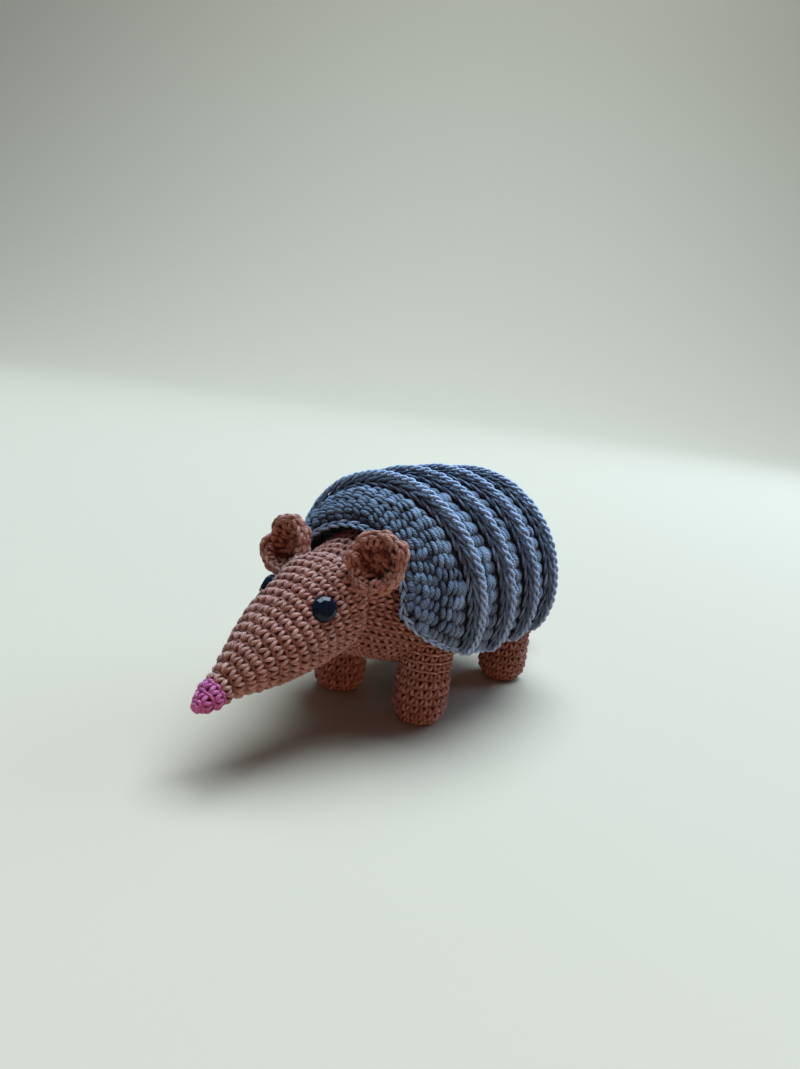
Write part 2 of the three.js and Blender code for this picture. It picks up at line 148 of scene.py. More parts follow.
STITCH_WIDTH = 2.75
ROUND_HEIGHT = 2.9
LEG_ROUND = 2.6
TAIL_ROUND = 3.1
STRAND_FLATNESS, WRAP_FLATNESS = 0.92, 0.8  # height over width
STRAND_SIDES, CHAIN_SIDES = 6, 8
# Painted shade: strands are painted darker as they sink below the work's face.
ROUND_SHADE_REACH, ROW_SHADE_REACH, CHAIN_SHADE_REACH = 1.5, 1.7, 1.6  # wholly dark this far down
YARN_START = 9  # the ply pattern starts anywhere within this length, strand by strand
THICKNESS_SPREAD = 0.05
TONE_SPREAD = 0.2
LINING_TONE = 0.4

X_AXIS, Y_AXIS, Z_AXIS = np.eye(3)

# ---- curves and surfaces


def middles(count):
    """Middles of that many equal parts of 0 to 1."""
    return (np.arange(count) + 0.5) / count


def unit(v):
    return v / np.maximum(np.linalg.norm(v, axis=-1, keepdims=True), 1e-9)


def part_way(x, start, end):
    """How far x lies from start to end, 0 to 1."""
    return np.clip((x - start) / (end - start), 0, 1)


def domed(x, power):
    """From 1 at x = 0 down to 0 at x = 1, by the quarter of a squarish oval."""
    return (1 - x**power) ** (1 / power)


def around(u, first, second):
    """The direction that lies u turns round from first, by way of second."""
    angle = TURN * np.asarray(u)[..., None]
    return np.cos(angle) * first + np.sin(angle) * second


def lengths_along(points):
    """Length of a line of points up to each of them."""
    steps = np.linalg.norm(np.diff(points, axis=0), axis=1)
    return np.concatenate([[0], np.cumsum(steps)])


def by_length(points):
    """A line of (radius, depth) points as a function of the length along it, and its length."""
    along = lengths_along(points)

    def profile(v):
        return np.interp(v, along, points[:, 0]), np.interp(v, along, points[:, 1])

    return profile, along[-1]


def turned(profile, tip, axis, first):
    """Surface turned about an axis that points out of its tip.

    The point at u, v is the tip's place, less the profile's depth along the axis, plus the
    profile's radius in the direction that u turns of the way round from `first`.
    """
    second = np.cross(first, axis)

    def surface(u, v):
        radius, depth = profile(v)
        return tip + radius[..., None] * around(u, first, second) - depth[..., None] * axis

    return surface


def on_surface(surface, u, v, out):
    """The surface's point moved outwards by `out` along its normal, and that normal.

    The normal is the cross product of the two central differences of the surface.
    """
    du, dv = 2e-4, 0.02
    across = surface(u + du, v) - surface(u - du, v)
    along = surface(u, v + dv) - surface(u, v - dv)
    normal = unit(np.cross(across, along))
    return surface(u, v) + out[..., None] * normal, normal


# ---- strands


def strand_rings(path, out, half_width, half_height, sides):
    """Rings of points round paths: an ellipse square to each path, flat side along `out`.

    The first side of a ring lies across, the following ones go round over the outer side.
    """
    along = unit(np.gradient(path, axis=1))
    across = unit(np.cross(out, along))
    up = np.cross(along, across)
    angle = TURN * np.arange(sides) / sides
    wide = (half_width[..., None] * np.cos(angle))[..., None] * across[:, :, None]
    high = (half_height[..., None] * np.sin(angle))[..., None] * up[:, :, None]
    return path[:, :, None] + wide + high


def sunk(lift, half_height, sides, reach):
    """How deep each point of a strand lies below the work's face, as a share of `reach`: how much
    painted shade it takes.
    """
    angle = TURN * np.arange(sides) / sides
    return np.clip(-(lift[..., None] + half_height[..., None] * np.sin(angle)) / reach, 0, 1)


def block(rings, tone, depth, along, place, patch=(0.003, 0.003)):
    """Tubes that share a number of rings and sides, with what their material reads.

    rings: points (tube, ring, side, 3). tone: one number a tube, which also holds painted light
    and shade. depth: how much painted shade each point takes, 0 to 1. along: length of yarn up to
    each ring. place: each tube's place on the unwrapped piece.
    """
    first = rings[0]
    inner = first.reshape(-1, 3).mean(0)
    a, b = first[:-1] - inner, np.roll(first, -1, axis=1)[:-1] - inner
    c = first[1:] - inner
    if np.einsum("ijk,ijk->", np.cross(a, b), c) < 0:
        rings, depth = rings[:, :, ::-1], depth[:, :, ::-1]
    return dict(rings=rings, tone=tone, depth=depth, along=along, place=place, patch=patch)


def unwrapped(u, share):
    """A strand's place on the unwrapped piece: its upper half, u across and share upwards."""
    return np.stack([0.02 + 0.96 * u, 0.52 + 0.46 * share], -1)


def strands(path, normal, half, lift, rng, tone_and_painted_light, place, sides, flat, reach):
    """Strands of yarn round paths, whose thickness, tone and start of the plies vary.

    half is half of their width and flat their height over their width. Their mean tone is set
    lighter or darker to paint light or shade on them. They take painted shade where lift, their
    height over the work's face, leaves them below it, wholly so at reach.
    """
    n, m = path.shape[:2]
    half = np.broadcast_to(half, (n, m)) * (1 + rng.normal(0, THICKNESS_SPREAD, (n, 1)))
    rings = strand_rings(path, normal, half, half * flat, sides)
    length = np.linalg.norm(np.diff(path, axis=1), axis=2).sum(1)
    along = length[:, None] * np.linspace(0, 1, m) + YARN_START * rng.random((n, 1))
    tone = np.clip(tone_and_painted_light + rng.normal(0, TONE_SPREAD, n), 0, 1)
    deep = sunk(np.broadcast_to(lift, (n, m)), half * flat, sides, reach)
    return block(rings, tone, deep, along, place)


def tube_faces(n, m, sides):
    """Quads round n tubes of m rings and across their ends: point numbers, each corner's side."""
    number = np.arange(n * m * sides).reshape(n, m, sides)
    j = np.arange(sides)
    following = np.roll(number, -1, axis=2)
    walls = np.stack([number[:, :-1], following[:, :-1], following[:, 1:], number[:, 1:]], -1)
    wall_sides = np.broadcast_to(np.stack([j, j + 1, j + 1, j], -1), walls.shape)
    k = np.arange(sides // 2 - 1)
    lid = np.stack([k, k + 1, sides - 2 - k, sides - 1 - k], -1)
    ends = [number[:, 0][:, lid[:, ::-1]], number[:, -1][:, lid]]
    end_sides = [np.broadcast_to(lid[:, ::-1], ends[0].shape), np.broadcast_to(lid, ends[1].shape)]
    faces = np.concatenate([part.reshape(-1, 4) for part in (walls, *ends)])
    corners = np.concatenate([part.reshape(-1, 4) for part in (wall_sides, *end_sides)])
    return faces, corners


def scene_object(name, data):
    made = bpy.data.objects.new(name, data)
    bpy.context.scene.collection.objects.link(made)
    return made


def mesh_object(name, points, faces, material):
    """A smooth mesh of quads, from points in metres."""
    mesh = bpy.data.meshes.new(name)
    mesh.vertices.add(len(points))
    mesh.vertices.foreach_set("co", points.astype(np.float32).ravel())
    mesh.loops.add(faces.size)
    mesh.loops.foreach_set("vertex_index", faces.astype(np.int32).ravel())
    mesh.polygons.add(len(faces))
    mesh.polygons.foreach_set("loop_start", np.arange(0, faces.size, 4, dtype=np.int32))
    mesh.update(calc_edges=True)
    mesh.polygons.foreach_set("use_smooth", np.ones(len(faces), bool))
    mesh.materials.append(material)
    return scene_object(name, mesh)


def crochet(name, blocks, material):
    """A mesh object of all the blocks' tubes, with its yarn map, bake map, tone and depth: tone
    also holds painted light and shade, depth is how much painted shade each point takes.
    """
    columns, start = [], 0
    for part in blocks:
        rings = part["rings"]
        n, m, sides = rings.shape[:3]
        quads, corner_sides = tube_faces(n, m, sides)
        tube, ring = np.divmod(quads // sides, m)
        turn = corner_sides / sides
        along = np.broadcast_to(part["along"], (n, m))[tube, ring]
        share = np.stack([turn - 0.5, ring / (m - 1) - 0.5], -1)
        columns.append((
            rings.reshape(-1, 3),
            quads + start,
            np.stack([turn, along], -1).reshape(-1, 2),
            (part["place"][tube] + share * np.array(part["patch"])).reshape(-1, 2),
            np.repeat(part["tone"], m * sides),
            np.broadcast_to(part["depth"], (n, m, sides)).ravel(),
        ))
        start += n * m * sides
    points, faces, yarn, bake, tones, depths = map(np.concatenate, zip(*columns))
    made = mesh_object(name, (points + SHIFT) * MM, faces, material)
    for map_name, values in (("Yarn", yarn), ("OFBake", bake)):
        layer = made.data.uv_layers.new(name=map_name)
        layer.uv.foreach_set("vector", values.astype(np.float32).ravel())
    for attribute, values in (("tone", tones), ("depth", depths)):
        layer = made.data.attributes.new(attribute, "FLOAT", "POINT")
        layer.data.foreach_set("value", values.astype(np.float32))
    return made


# ---- single crochet in rounds


def strands_on(surface, length, cells, curve, radius, rng, tone_and_painted_light, wobble):
    """One strand in each cell, along a curve given in the cell's own measures.

    cells: u, v, width and height of each stitch. curve: across (in stitch widths), up (in round
    heights), out (millimetres) and thickness (a share of the radius) at each step. A strand's
    point is the surface at u + across * width, v + up * height, moved out along its normal. length
    is the whole piece's, along its profile.
    """
    across, up, out, thickness = curve
    n = len(cells["u"])
    shake = rng.normal(0, wobble, (3, n, 1))
    u = cells["u"][:, None] + (across + shake[0]) * cells["du"][:, None]
    v = cells["v"][:, None] + (up + shake[1]) * cells["dv"][:, None]
    lift = np.broadcast_to(out + shake[2] * 2.5, u.shape)
    path, normal = on_surface(surface, u, np.maximum(v, 0.02), lift)
    place = unwrapped(cells["u"] % 1, cells["v"] / length)
    return strands(
        path, normal, thickness * radius, lift, rng, tone_and_painted_light, place,
        STRAND_SIDES, STRAND_FLATNESS, ROUND_SHADE_REACH,
    )


def under_layer(surface, u, v, out, depth, along, patch):
    """A tube through points of a surface, in painted shade, as dark as the shaded yarn that lies
    under the stitches.
    """
    points, _ = on_surface(surface, *np.broadcast_arrays(u, v, out))
    deep = np.broadcast_to(depth, (1, *points.shape[:2]))
    tone, place = np.array([LINING_TONE]), np.array([[0.5, 0.25]])
    return block(points[None], tone, deep, along[None], place, patch)


def lining(surface, v_line, inset, sides):
    """The inner layer of a turned piece, wholly in painted shade: rings at the lines of v_line,
    set in from the surface.
    """
    u, v = np.arange(sides) / sides, v_line[:, None]
    return under_layer(surface, u, v, -inset, 1.0, v_line * 2, (0.96, 0.46))


def stitch_cells(profile, rows, height, start=0.0, drift=0.35):
    """Cells of rounds: each round has as many stitches as fit its girth, in steps of three.

    drift is how far each round's stitches stand on from the last one's, in stitches.
    """
    columns = []
    for row in rows:
        v = start + row * height
        girth = TURN * float(profile(np.array(v + height * 0.5))[0])
        count = max(6, 3 * round(girth / (3 * STITCH_WIDTH)))
        u = (np.arange(count) + row * drift) / count
        columns.append(np.stack([u, np.full(count, v), np.full(count, 1 / count)]))
    u, v, du = np.concatenate(columns, axis=1)
    row = np.round((v - start) / height).astype(int)
    return {"u": u, "v": v, "du": du, "dv": np.full(len(u), height), "row": row}


def pick(cells, kept):
    return {key: value[kept] for key, value in cells.items()}


def eased(t):
    """A smooth step from 0 to 1: three squares less two cubes."""
    return t * t * (3 - 2 * t)


def arched(low, top, t, start, end, power):
    """Height between low and top: a power of half a sine wave, of which start to end are used."""
    return low + (top - low) * np.sin(np.pi * (start + (end - start) * t)) ** power


def v_arm(side, top, steps):
    """One arm of a stitch's V: out of the round below, over its own round, and under again."""
    lean, root = 0.24, -2.1
    t = np.linspace(0, 1, steps)
    across = side * (0.10 + 0.27 * eased(t)) + lean * (t - 0.5)
    up = -0.08 + 0.98 * t
    out = arched(root, top, t, 0.04, 0.96, 0.9)
    return across, up, out, 0.84 + 0.16 * np.sin(np.pi * t)


def front_loop(top, steps):
    """The loop that crosses the head of a stitch, under the feet of the next round."""
    t = np.linspace(0, 1, steps)
    across = -0.55 + 1.10 * t
    up = 0.90 + 0.10 * np.sin(np.pi * t) - 0.10 * t
    out = top - 0.5 + 0.5 * np.sin(np.pi * t) ** 0.8
    return across, up, out, 0.85 + 0.1 * np.sin(np.pi * t)


def link(side):
    """One arm of a chain's link, which runs along the round: from its middle out to one side."""
    root, top, spread = -1.6, -0.5, 0.34
    t = np.linspace(0, 1, 9)
    across = -0.15 + 1.35 * t
    up = side * (0.04 + spread * eased(t))
    out = arched(root, top, t, 0.03, 0.93, 0.7)
    return across, up, out, 0.80 + 0.20 * np.sin(np.pi * t)


def single_crochet(
    surface, length, cells, seed, radius=0.56,
    loop_top=-1.15, arm_top=-0.5, tone_and_painted_light=0.5, steps=9, wobble=0.03,
):
    """Strands of rounds of single crochet: two arms of a V and a crossing loop for each stitch."""
    rng = np.random.default_rng(seed)
    curves = (
        (v_arm(-1, arm_top, steps), radius),
        (v_arm(1, arm_top, steps), radius),
        (front_loop(loop_top, steps), 0.95 * radius),
    )
    return [strands_on(surface, length, cells, *curve, rng, tone_and_painted_light, wobble) for curve in curves]


def chain_ring(surface, length, v, count, seed):
    """A crochet chain round a turned piece: links whose two arms lie along the round."""
    rng = np.random.default_rng(seed)
    one = np.ones(count)
    u = (np.arange(count) + 0.3) / count
    cells = {"u": u, "v": v * one, "du": one / count, "dv": ROUND_HEIGHT * one}
    # The chain's tone is set below the head's stitches: painted shade.
    look = {"radius": 0.62, "tone_and_painted_light": 0.12, "wobble": 0.07}
    return [strands_on(surface, length, cells, link(side), rng=rng, **look) for side in (-1, 1)]


# ---- head and nose


def head_radius(s):
    """Radius at a distance from the tip: an elliptic tip, a swelling cone and a domed back.

    The cone swells by half a sine wave between the tip and the widest round.
    """
    tip = SNOUT_RADIUS * np.sqrt(np.clip(1 - (1 - s / SNOUT_TIP) ** 2, 0, 1))
    swell = HEAD_BULGE * np.sin(np.pi * part_way(s, SNOUT_TIP, HEAD_WIDEST))
    cone = SNOUT_RADIUS + HEAD_SLOPE * (s - SNOUT_TIP) + swell
    dome = HEAD_RADIUS * domed(part_way(s, HEAD_WIDEST, HEAD_LENGTH), HEAD_DOME_POWER)
    smooth = -HEAD_BLEND * np.log(np.exp(-cone / HEAD_BLEND) + np.exp(-dome / HEAD_BLEND))
    return np.where(s < SNOUT_TIP, tip, np.minimum(smooth, dome))


HEAD_AXIS = np.array([0, -math.cos(HEAD_TILT), -math.sin(HEAD_TILT)])
HEAD_TIP = HEAD_CENTRE + HEAD_AXIS * HEAD_WIDEST


def head_surface():
    s = HEAD_LENGTH * (1 - np.cos(np.pi * np.linspace(0, 1, 400))) / 2
    profile, length = by_length(np.stack([head_radius(s), s], -1))
    return turned(profile, HEAD_TIP, HEAD_AXIS, X_AXIS), profile, length


def inside_head(points):
    """How far points lie inside the head: positive inside."""
    from_tip = (HEAD_TIP - points) @ HEAD_AXIS
    radial = points - HEAD_TIP + from_tip[..., None] * HEAD_AXIS
    inside = head_radius(np.clip(from_tip, 0, HEAD_LENGTH)) - np.linalg.norm(radial, axis=-1)
    return np.where((from_tip > 0) & (from_tip < HEAD_LENGTH), inside, -HEAD_LENGTH)


def eye_frame(side):
    """The seat of an eye on the head, and the direction that it faces."""
    up = np.cross(HEAD_AXIS, X_AXIS)
    outward = side * math.cos(EYE_ANGLE[side]) * X_AXIS + math.sin(EYE_ANGLE[side]) * up
    slope = math.atan(HEAD_SLOPE)
    facing = outward * math.cos(slope) + HEAD_AXIS * math.sin(slope)
    station = EYE_FROM_NOSE[side]
    radius = float(head_radius(np.array(station))) - EYE_SINK[side]
    return HEAD_TIP - HEAD_AXIS * station + outward * radius, facing


def press_in(blocks, centre, facing):
    """Pushes stitches in round an eye's seat, by a bell-shaped amount of the distance from it."""
    for part in blocks:
        away = np.linalg.norm(part["rings"] - centre, axis=-1)
        push = EYE_PRESS * np.exp(-((away / EYE_PRESS_REACH) ** 2))
        part["rings"] = part["rings"] - push[..., None] * facing


def head_pieces(brown, pink):
    """Rounds from the tip of the snout to the back of the head, the first few of them pink."""
    surface, profile, length = head_surface()
    rounds = round(length / ROUND_HEIGHT)
    height = length / rounds
    split, inset = NOSE_ROUNDS * height, 1.35
    nose_cells = stitch_cells(profile, range(NOSE_ROUNDS), height)
    head_cells = stitch_cells(profile, range(NOSE_ROUNDS, rounds), height)
    nose = single_crochet(surface, length, nose_cells, 12, loop_top=-0.65)
    head = single_crochet(surface, length, head_cells, 13)
    nose.append(lining(surface, np.linspace(0.3, split - 1.4, 14), inset, 20))
    head.append(lining(surface, np.linspace(split - 1.0, length - 0.3, 60), inset, 40))
    for side in (1, -1):
        press_in(head, *eye_frame(side))
    return crochet("head_stitches", head, brown), crochet("nose_stitches", nose, pink)


# ---- neck and trunk


def trunk_radius(y):
    """A quarter-sine swell from the neck to the waist, then a squarish dome over the rump."""
    swell = np.sin(np.pi / 2 * part_way(y, TRUNK_FRONT, 0)) ** NECK_SWELL
    front = NECK_RADIUS + (TRUNK_RADIUS - NECK_RADIUS) * swell
    rear = TRUNK_RADIUS * domed(part_way(y, 0, TRUNK_REAR), TRUNK_REAR_POWER)
    return np.where(y < 0, front, rear)


def trunk_surface():
    span = TRUNK_REAR - TRUNK_FRONT
    y = TRUNK_FRONT + span * np.sin(np.pi / 2 * np.linspace(0, 1, 500))
    profile, length = by_length(np.stack([trunk_radius(y), y - TRUNK_FRONT], -1))
    tip = np.array([0, TRUNK_FRONT, AXIS_HEIGHT])
    return turned(profile, tip, -Y_AXIS, X_AXIS), profile, length


def hem_height(y):
    """Level amidships, then up the quarter of a squarish oval round each corner."""
    end = np.where(y < 0, -SHELL_FRONT, SHELL_REAR)
    corner = np.where(y < 0, FRONT_CORNER, REAR_CORNER)
    rise = np.where(y < 0, FRONT_HEM_RISE, REAR_HEM_RISE)
    return HEM_HEIGHT + rise * (1 - domed(part_way(np.abs(y), corner, end), HEM_POWER))


def body_pieces(brown):
    """Neck and trunk in one run of rounds, parted after the neck's last round.

    Stitches deep inside the head and far under the shell are left out.
    """
    surface, profile, length = trunk_surface()
    rounds = round(length / ROUND_HEIGHT)
    height = length / rounds
    cells = stitch_cells(profile, range(rounds), height, drift=0.3)
    centre = surface(cells["u"], cells["v"] + height / 2)
    above_hem = centre[:, 2] - hem_height(centre[:, 1])
    covered = (np.abs(centre[:, 1]) < COVERED_REACH) & (above_hem > COVERED_ABOVE_HEM)
    kept = (inside_head(centre) < HIDDEN_DEPTH) & ~covered
    cells, in_neck = pick(cells, kept), cells["row"][kept] < NECK_ROUNDS
    split, inset = NECK_ROUNDS * height, 1.4
    # The neck and the trunk are painted far darker than the head: painted shade under the shell.
    neck = single_crochet(surface, length, pick(cells, in_neck), 22, tone_and_painted_light=0.03)
    trunk = single_crochet(surface, length, pick(cells, ~in_neck), 23, tone_and_painted_light=-0.04, steps=7)
    neck.append(lining(surface, np.linspace(0.05, split - 0.2, 12), inset, 64))
    trunk.append(lining(surface, np.linspace(split + 0.2, length - 0.3, 78), inset, 64))
    return crochet("neck_stitches", neck, brown), crochet("trunk_stitches", trunk, brown)


# ---- legs


def leg_profile():
    """Flat sole, a rounded edge, an upright side and a rounded shoulder."""
    angle = np.pi / 2 * np.linspace(0, 1, 24)
    edge = np.stack([
        FOOT_RADIUS + (LEG_RADIUS - FOOT_RADIUS) * np.sin(angle),
        FOOT_ROUNDING * (1 - np.cos(angle)),
    ], -1)
    shoulder = np.stack([
        LEG_RADIUS - LEG_SHOULDER * (1 - np.cos(angle)),
        LEG_TOP - LEG_SHOULDER * (1 - np.sin(angle)),
    ], -1)
    return by_length(np.concatenate([[[0, 0]], edge, shoulder]))


def leg_piece(name, x, y, seed, brown):
    """Rounds of crochet up a leg, pressed flat where they would reach below the sole."""
    profile, length = leg_profile()
    surface = turned(profile, np.array([x, y, 0]), -Z_AXIS, X_AXIS)
    rounds = round(length / LEG_ROUND)
    height = length / rounds
    cells = stitch_cells(profile, range(rounds), height, drift=0.4)
    centre = surface(cells["u"], cells["v"] + height / 2)
    from_axis = np.hypot(centre[:, 0], centre[:, 2] - AXIS_HEIGHT)
    cells = pick(cells, from_axis > trunk_radius(centre[:, 1]) - HIDDEN_DEPTH)
    low = cells["row"] < LOWER_LEG_ROUNDS
    # The legs are painted darker than the head, the upper rounds most: painted shade under the
    # body.
    blocks = single_crochet(
        surface, length, pick(cells, low), seed + 1, loop_top=-0.9, arm_top=-0.2, tone_and_painted_light=0.27,
    )
    blocks += single_crochet(
        surface, length, pick(cells, ~low), seed + 2, 0.52, loop_top=-0.3, arm_top=-0.55, tone_and_painted_light=0.2,
    )
    blocks.append(lining(surface, np.linspace(0.3, length, 40), 1.3, 28))
    for part in blocks:
        part["rings"][..., 2] = np.maximum(part["rings"][..., 2], SOLE_HEIGHT)
    return crochet(name, blocks, brown)


# ---- ears


def ear_profile():
    """From the middle of the hollow front, up over a thick rolled rim, and in across the back."""
    roll = EAR_RIM / 2
    angle = np.linspace(2.5, -1.1, 40)
    rim = [EAR_RADIUS - roll + roll * np.cos(angle), -roll * np.sin(angle) - EAR_CUP / 4]
    cup = [[0.0, EAR_CUP - roll], [EAR_RADIUS * 0.42, EAR_CUP * 0.9 - roll]]
    back = [[EAR_RADIUS * 0.55, roll + EAR_CUP * 0.3], [0.0, roll + EAR_CUP / 2]]
    return by_length(np.concatenate([cup, np.stack(rim, -1), back]))


def ear_piece(name, side, seed, brown):
    """Three rounds down in the cup, two chains over the rolled rim and three rounds behind it.

    The turned shape is made uneven by waves of two, three, five and seven to the turn.
    """
    turn = EAR_TURN[side]
    facing = np.array([
        side * math.sin(turn) * math.cos(EAR_LIFT),
        -math.cos(turn) * math.cos(EAR_LIFT),
        math.sin(EAR_LIFT),
    ])
    profile, length = ear_profile()
    across = unit(np.cross(Z_AXIS, facing))
    even = turned(profile, EAR_CENTRE[side], facing, across)
    starts = np.random.default_rng(seed).random(len(EAR_WAVES)) * TURN

    def surface(u, v):
        angle = TURN * np.asarray(u)
        waves = (np.sin(n * angle + start) for n, start in zip(EAR_WAVES, starts))
        swell = sum(EAR_WAVE_HEIGHT * wave for wave in waves)
        push = (swell * profile(v)[0] / EAR_RADIUS)[..., None]
        point = even(u, v)
        return point + push * ((point - EAR_CENTRE[side]) / EAR_RADIUS + 0.8 * facing)

    hollow = stitch_cells(profile, range(EAR_ROUNDS), EAR_ROUND, drift=0.4)
    back_round = (length - EAR_BACK_START) / EAR_ROUNDS
    behind = stitch_cells(profile, range(EAR_ROUNDS), back_round, start=EAR_BACK_START, drift=0.4)
    # The hollow is painted darkest, and the rim and back darker than the head: painted shade.
    blocks = single_crochet(
        surface, length, hollow, seed + 1, 0.6,
        loop_top=-0.75, arm_top=-0.3, tone_and_painted_light=-0.25, wobble=0.14,
    )
    for k, (v, links) in enumerate(EAR_RIM_CHAINS):
        blocks += chain_ring(surface, length, v, links, seed + 2 + k)
    blocks += single_crochet(surface, length, behind, seed + 4, 0.58, tone_and_painted_light=0.15)
    blocks.append(lining(surface, np.linspace(0.3, length - 0.3, 36), 1.1, 30))
    return crochet(name, blocks, brown)


# ---- tail


def tail_piece(brown):
    """Rounds of crochet on a cone whose axis is a quadratic Bezier curve."""
    root, middle, tip = TAIL_ROUTE

    def centre(t):
        t = t[..., None]
        return root * t**2 + middle * 2 * t * (1 - t) + tip * (1 - t) ** 2

    t_line = np.linspace(0, 1, 300)
    along = lengths_along(centre(t_line))
    route_length = along[-1]

    def radius_at(v):
        cone = TAIL_TIP_RADIUS + (TAIL_ROOT_RADIUS - TAIL_TIP_RADIUS) * v / route_length
        return cone * np.sqrt(1 - (1 - np.clip(v / TAIL_TIP_RADIUS, 0, 1)) ** 2)

    def surface(u, v):
        t = np.interp(v, along, t_line)
        here = centre(t)
        ahead = unit(centre(t + 0.005) - centre(t - 0.005))
        radial = around(u, X_AXIS, np.cross(ahead, X_AXIS))
        return here + radius_at(v)[..., None] * radial

    def profile(v):
        return radius_at(np.asarray(v, float)), v

    rounds = round(route_length / TAIL_ROUND)
    cells = stitch_cells(profile, range(rounds), route_length / rounds)
    blocks = single_crochet(surface, route_length, cells, 52, 0.58)
    blocks.append(lining(surface, np.linspace(0.4, route_length, 50), 1.2, 20))
    return crochet("tail_stitches", blocks, brown)


# ---- shell


def shell_surface(u, v):
    """The plain shell: u goes round the arch from the right hem to the left, v is the station.

    An arch's radius follows a squarish dome. Its plane leans by a share of the height: forwards
    over the back, and backwards at the front edge.
    """
    closing = np.where(v < 0, FRONT_CLOSING, REAR_CLOSING)
    radius = SHELL_RADIUS * domed(np.abs(v / closing), SHELL_POWER)
    low = np.arcsin((hem_height(v) - AXIS_HEIGHT) / radius)
    angle = np.pi - low - (np.pi - 2 * low) * u
    rise = radius * np.sin(angle)
    front = np.maximum(0, (FRONT_LEAN_START - v) / FRONT_LEAN_REACH)
    lean = FRONT_LEAN * front**2 - SHELL_LEAN * (1 - ((v - LEAN_CENTRE) / LEAN_REACH) ** 2)
    return np.stack([radius * np.cos(angle), v + lean * rise, AXIS_HEIGHT + rise], -1)


def stations(front, rear, shares):
    """Stations at those shares of the length over the shell's side, and that length."""
    v = np.linspace(front, rear, 80)
    along = lengths_along(shell_surface(np.full(80, 0.8), v))
    return np.interp(np.asarray(shares) * along[-1], along, v), along[-1]


def shell_strands(
    u, v, out, half, lift, rng, tone_and_painted_light, station,
    sides=STRAND_SIDES, flat=WRAP_FLATNESS, reach=ROW_SHADE_REACH,
):
    """Strands through shell points: the surface at u, v moved out along its normal.

    What would run past a hem is folded inwards there by the length that is over, and what stands
    out is lowered towards the hem by an exponential curve. station is where the strands' row lies.
    """
    from_hem = 0.5 - np.abs(u - 0.5)
    over = np.maximum(HEM_FOLD - from_hem, 0) * ARCH_LENGTH
    low = 1 - HEM_LOWERING * np.exp(-np.maximum(from_hem, 0) / HEM_REACH) * (out > 0)
    path, normal = on_surface(shell_surface, np.clip(u, 0.004, 0.996), v, out * low - over)
    n, share = len(u), (station - SHELL_FRONT) / (SHELL_REAR - SHELL_FRONT)
    place = unwrapped(middles(n), np.full(n, share))
    return strands(path, normal, half, lift, rng, tone_and_painted_light, place, sides, flat, reach)


# The last column paints the wraps lighter towards the row's rear: painted light.
WRAPS = (  # share of the row's width, half thickness, length in stitches, height, tone
    (0.12, 0.86, 0.98, 0.05, -0.05),
    (0.32, 0.80, 1.06, 0.00, 0.05),
    (0.51, 0.78, 1.08, 0.00, 0.12),
    (0.70, 0.80, 1.06, 0.00, 0.12),
    (0.89, 0.86, 0.98, 0.10, 0.20),
)
WRAP_SLANT = 0.11  # of the row's width
WRAP_ROOT = -2.4  # where a wrap's ends lie
WRAP_SHAKE = np.array([0.05, 0.9, 0.18, 1])[:, None, None]  # place, slant, height, size
ROW_SAG = 1.2  # from its middle to its edges
ROW_SWAY = 0.035  # of its width
ROW_WIDTH = 7.8  # of a row whose wraps have just the thickness above


def shell_row(
    front, rear, rng, stitches=SHELL_STITCHES, face=-0.62, last=0.0, slant=-1, tone=0.0,
):
    """A row of tall stitches: each is a post across the row, wrapped by short thick strands.

    The row is pillowed: it sinks by the square of the distance from its middle. A wrap is an
    arch over the post: its height is a power of the sine of the way along it. Wraps slant like
    the turns of a twisted cord, one way or the other by the sign of slant, and are thicker where
    the row is wider. Each wrap takes its tone from WRAPS, which paints the rear of the row
    lighter:
    painted light. face is the height of the row's middle, last paints its rearmost wraps lighter
    (painted light) and lifts them, and tone paints them all lighter, or darker as painted shade.
    """
    t = np.linspace(0, 1, 9)
    lines, width = stations(front, rear, [wrap[0] for wrap in WRAPS])
    edges = [shell_surface(middles(stitches), np.full(stitches, v)) for v in (front, rear)]
    local_width = np.linalg.norm(edges[1] - edges[0], axis=1)[:, None]
    size = np.clip(local_width / width, 0.85, 1.6) * width / ROW_WIDTH
    sway = rng.normal(0, ROW_SWAY, (stitches, 1)) * width
    blocks = []
    for line, (share, thick, reach, height, tone_and_painted_light) in zip(lines, WRAPS):
        aside, turned_by, raised, larger = rng.normal(0, 1, (4, stitches, 1)) * WRAP_SHAKE
        across = (t - 0.5) * reach * (1 + 0.08 * larger) + aside
        u = middles(stitches)[:, None] + across / stitches
        pinch = 0.7 * (share - 0.5) * np.sin(np.pi * t)
        v = line + sway + pinch + (slant * WRAP_SLANT * width + turned_by) * (t - 0.5)
        # knob lifts the rearmost wraps and paints them lighter: painted light.
        knob = last * (share > 0.8)
        top = face - ROW_SAG * (2 * share - 1) ** 2 + height + 0.3 * knob + raised
        out = arched(WRAP_ROOT, top, t, 0.04, 0.96, 0.42)
        taper = 0.62 + 0.38 * np.sin(np.pi * t) ** 0.7
        half = thick * taper * (1 + 0.13 * larger) * size
        blocks.append(shell_strands(u, v, out, half, out - height, rng, tone_and_painted_light + knob + tone, line))
    return blocks


def ridge_crest(k):
    return (k - (RIDGE_COUNT - 1) / 2) * RIDGE_PITCH


def link_taper(steps):
    """A link's thickness along it: a fifth thinner at its ends, by half a sine wave."""
    return 0.8 + 0.2 * np.sin(np.pi * np.linspace(0, 1, steps))


